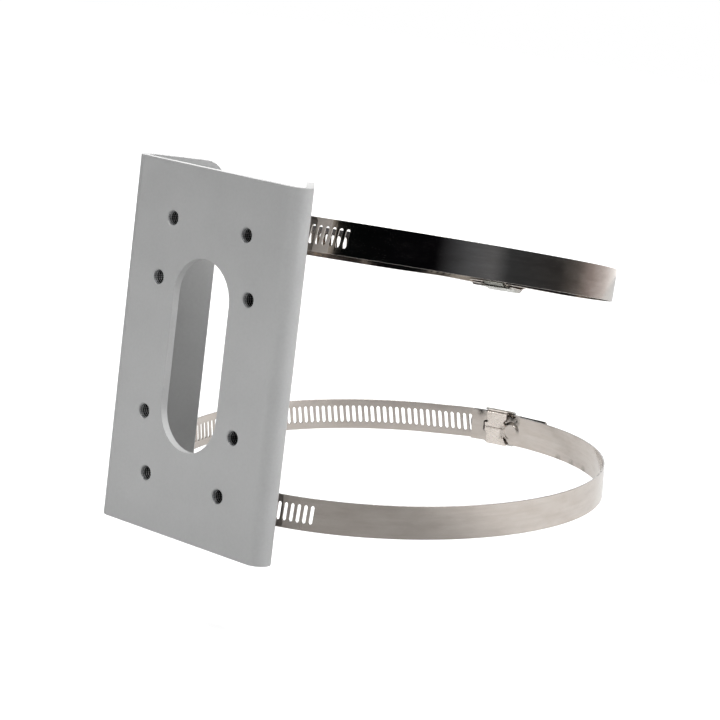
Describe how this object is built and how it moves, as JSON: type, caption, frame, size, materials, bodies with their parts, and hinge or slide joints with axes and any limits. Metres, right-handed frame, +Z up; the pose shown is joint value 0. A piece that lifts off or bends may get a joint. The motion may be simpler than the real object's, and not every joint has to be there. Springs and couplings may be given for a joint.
{
  "type": "camera pole mount",
  "caption": "Folded steel plate with flanges that seat on a pole, held by slotted steel straps with worm-drive clamps, for fixing a security camera.",
  "frame": {"origin": "middle of the pole seat, in the plane of the flange edges that rest on the pole, half-way up the plate", "axes": "+X to the right seen from the plate's front, +Y from the plate towards the pole, +Z up"},
  "size_m": [0.1789, 0.1964, 0.14],
  "materials": {
    "plate_paint": "smooth grey paint, satin",
    "band_steel": "rolled, satin",
    "clamp_steel": "pressed, satin",
    "screw_steel": "zinc plated, dull"
  },
  "bodies": {
    "bracket": {"bracket_plate": "plate_paint"},
    "upper_strap": {"strap_band_upper": "band_steel", "clamp_saddle_upper": "clamp_steel", "clamp_housing_upper": "clamp_steel"},
    "lower_strap": {"strap_band_lower": "band_steel", "clamp_saddle_lower": "clamp_steel", "clamp_housing_lower": "clamp_steel"},
    "upper_screw": {"worm_screw_upper": "screw_steel"},
    "lower_screw": {"worm_screw_lower": "screw_steel"}
  },
  "joints": [
    {"name": "upper_strap_tilt", "type": "hinge", "parent": "bracket", "child": "upper_strap", "pos_m": [0, -0.00778, 0.04965], "axis": [1, 0, 0], "range_deg": [-4.8, 19.2]},
    {"name": "lower_strap_tilt", "type": "hinge", "parent": "bracket", "child": "lower_strap", "pos_m": [0, -0.00778, -0.05178], "axis": [1, 0, 0], "range_deg": [-17, 7]},
    {"name": "upper_worm_turn", "type": "hinge", "parent": "upper_strap", "child": "upper_screw", "pos_m": [-0.01332, 0.15804, 0.02455], "axis": [-0.9773, -0.2089, -0.0356], "continuous": true},
    {"name": "lower_worm_turn", "type": "hinge", "parent": "lower_strap", "child": "lower_screw", "pos_m": [-0.00673, 0.16216, -0.03701], "axis": [-0.9815, -0.189, -0.0294], "continuous": true}
  ]
}
